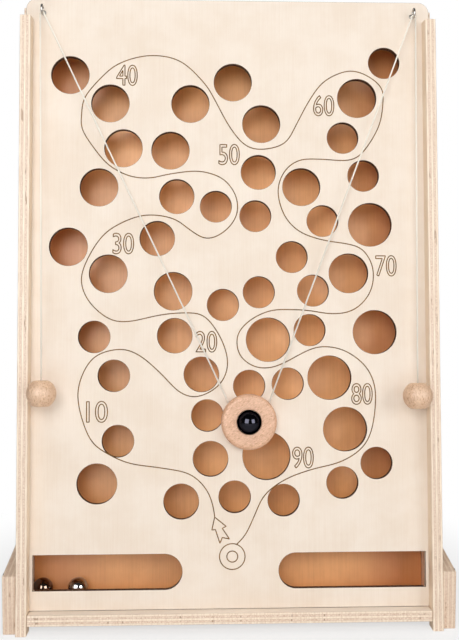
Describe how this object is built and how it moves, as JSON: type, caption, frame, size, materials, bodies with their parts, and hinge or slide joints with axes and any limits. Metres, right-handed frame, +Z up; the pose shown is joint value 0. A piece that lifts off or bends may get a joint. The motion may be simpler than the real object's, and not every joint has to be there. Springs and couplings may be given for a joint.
{
  "type": "ball-lifting hole game",
  "caption": "Leaning plywood hole-maze board on feet; two pull cords over screw eyes lift a ball in a ring past round traps into a tray.",
  "frame": {"origin": "centre of the footprint, on the plane the two feet stand on", "axes": "+Z up, the playfield faces -Y and leans back towards +Y, +X to the player's right"},
  "size_m": [0.417, 0.1676, 0.5903],
  "materials": {
    "play_board_windows": "clear satin varnish over birch plywood, burnt engraving",
    "play_board_low": "clear satin varnish over birch plywood, burnt engraving",
    "play_board_middle_left": "clear satin varnish over birch plywood, burnt engraving",
    "play_board_middle": "clear satin varnish over birch plywood, burnt engraving",
    "play_board_middle_right": "clear satin varnish over birch plywood, burnt engraving",
    "play_board_upper": "clear satin varnish over birch plywood, burnt engraving",
    "play_board_high": "clear satin varnish over birch plywood, burnt engraving",
    "play_board_head": "clear satin varnish over birch plywood, burnt engraving",
    "side_rail_left": "plywood with bare laser-cut edges",
    "side_rail_right": "plywood with bare laser-cut edges",
    "bottom_rail": "plywood with bare laser-cut edges",
    "tray_floor": "plywood with bare laser-cut edges",
    "side_cleat_left": "plywood with bare laser-cut edges",
    "side_cleat_right": "plywood with bare laser-cut edges",
    "back_panel": "thin plywood, oiled",
    "top_rail": "plywood with bare laser-cut edges",
    "foot_left": "plywood with bare laser-cut edges",
    "foot_right": "plywood with bare laser-cut edges",
    "foot_screw_left_1": "zinc-plated steel",
    "foot_screw_left_2": "zinc-plated steel",
    "foot_screw_left_3": "zinc-plated steel",
    "back_screw_left_1": "zinc-plated steel",
    "back_screw_left_2": "zinc-plated steel",
    "back_screw_left_3": "zinc-plated steel",
    "back_screw_left_4": "zinc-plated steel",
    "top_screw_left": "zinc-plated steel",
    "foot_screw_right_1": "zinc-plated steel",
    "foot_screw_right_2": "zinc-plated steel",
    "foot_screw_right_3": "zinc-plated steel",
    "back_screw_right_1": "zinc-plated steel",
    "back_screw_right_2": "zinc-plated steel",
    "back_screw_right_3": "zinc-plated steel",
    "back_screw_right_4": "zinc-plated steel",
    "top_screw_right": "zinc-plated steel",
    "tray_screw_1": "zinc-plated steel",
    "tray_screw_2": "zinc-plated steel",
    "tray_screw_3": "zinc-plated steel",
    "screw_eye_left": "zinc-plated steel",
    "screw_eye_right": "zinc-plated steel",
    "lift_cord_left": "white braided cord",
    "lift_cord_right": "white braided cord",
    "pull_cord_left": "white braided cord",
    "pull_cord_right": "white braided cord",
    "carrier_ring": "turned beech, satin",
    "carrier_ball": "dark blued steel, polished",
    "pull_bead_left": "turned wood, satin",
    "pull_bead_right": "turned wood, satin",
    "tray_ball_1": "polished steel",
    "tray_ball_2": "polished steel"
  },
  "bodies": {
    "case": {"play_board_windows": "play_board_windows", "play_board_low": "play_board_low", "play_board_middle_left": "play_board_middle_left", "play_board_middle": "play_board_middle", "play_board_middle_right": "play_board_middle_right", "play_board_upper": "play_board_upper", "play_board_high": "play_board_high", "play_board_head": "play_board_head", "side_rail_left": "side_rail_left", "side_rail_right": "side_rail_right", "bottom_rail": "bottom_rail", "tray_floor": "tray_floor", "side_cleat_left": "side_cleat_left", "side_cleat_right": "side_cleat_right", "back_panel": "back_panel", "top_rail": "top_rail", "foot_left": "foot_left", "foot_right": "foot_right", "foot_screw_left_1": "foot_screw_left_1", "foot_screw_left_2": "foot_screw_left_2", "foot_screw_left_3": "foot_screw_left_3", "back_screw_left_1": "back_screw_left_1", "back_screw_left_2": "back_screw_left_2", "back_screw_left_3": "back_screw_left_3", "back_screw_left_4": "back_screw_left_4", "top_screw_left": "top_screw_left", "foot_screw_right_1": "foot_screw_right_1", "foot_screw_right_2": "foot_screw_right_2", "foot_screw_right_3": "foot_screw_right_3", "back_screw_right_1": "back_screw_right_1", "back_screw_right_2": "back_screw_right_2", "back_screw_right_3": "back_screw_right_3", "back_screw_right_4": "back_screw_right_4", "top_screw_right": "top_screw_right", "tray_screw_1": "tray_screw_1", "tray_screw_2": "tray_screw_2", "tray_screw_3": "tray_screw_3", "screw_eye_left": "screw_eye_left", "screw_eye_right": "screw_eye_right", "lift_cord_left": "lift_cord_left", "lift_cord_right": "lift_cord_right", "pull_cord_left": "pull_cord_left", "pull_cord_right": "pull_cord_right"},
    "carrier": {"carrier_ring": "carrier_ring"},
    "carried_ball": {"carrier_ball": "carrier_ball"},
    "bead_left": {"pull_bead_left": "pull_bead_left"},
    "bead_right": {"pull_bead_right": "pull_bead_right"},
    "loose_ball_1": {"tray_ball_1": "tray_ball_1"},
    "loose_ball_2": {"tray_ball_2": "tray_ball_2"}
  },
  "joints": [
    {"name": "carrier_lift", "type": "slide", "parent": "case", "child": "carrier", "axis": [0, 0.1045, 0.9945], "range_m": [-0.124, 0.274], "deforming": ["lift_cord_left", "lift_cord_right"]},
    {"name": "ball_lift_out", "type": "slide", "parent": "carrier", "child": "carried_ball", "axis": [0, -0.9945, 0.1045], "range_m": [0, 0.025]},
    {"name": "bead_left_pull", "type": "slide", "parent": "case", "child": "bead_left", "axis": [0, -0.1045, -0.9945], "range_m": [-0.085, 0.187], "deforming": ["pull_cord_left"]},
    {"name": "bead_right_pull", "type": "slide", "parent": "case", "child": "bead_right", "axis": [0, -0.1045, -0.9945], "range_m": [-0.085, 0.187], "deforming": ["pull_cord_right"]},
    {"name": "tray_ball_1_roll", "type": "slide", "parent": "case", "child": "loose_ball_1", "axis": [1, 0, 0], "range_m": [0, 0.006]},
    {"name": "tray_ball_2_roll", "type": "slide", "parent": "case", "child": "loose_ball_2", "axis": [1, 0, 0], "range_m": [-0.006, 0.32]}
  ],
  "couplings": [
    {"joint": "bead_left_pull", "follows": "carrier_lift", "ratio": 0.68},
    {"joint": "bead_right_pull", "follows": "carrier_lift", "ratio": 0.68}
  ]
}
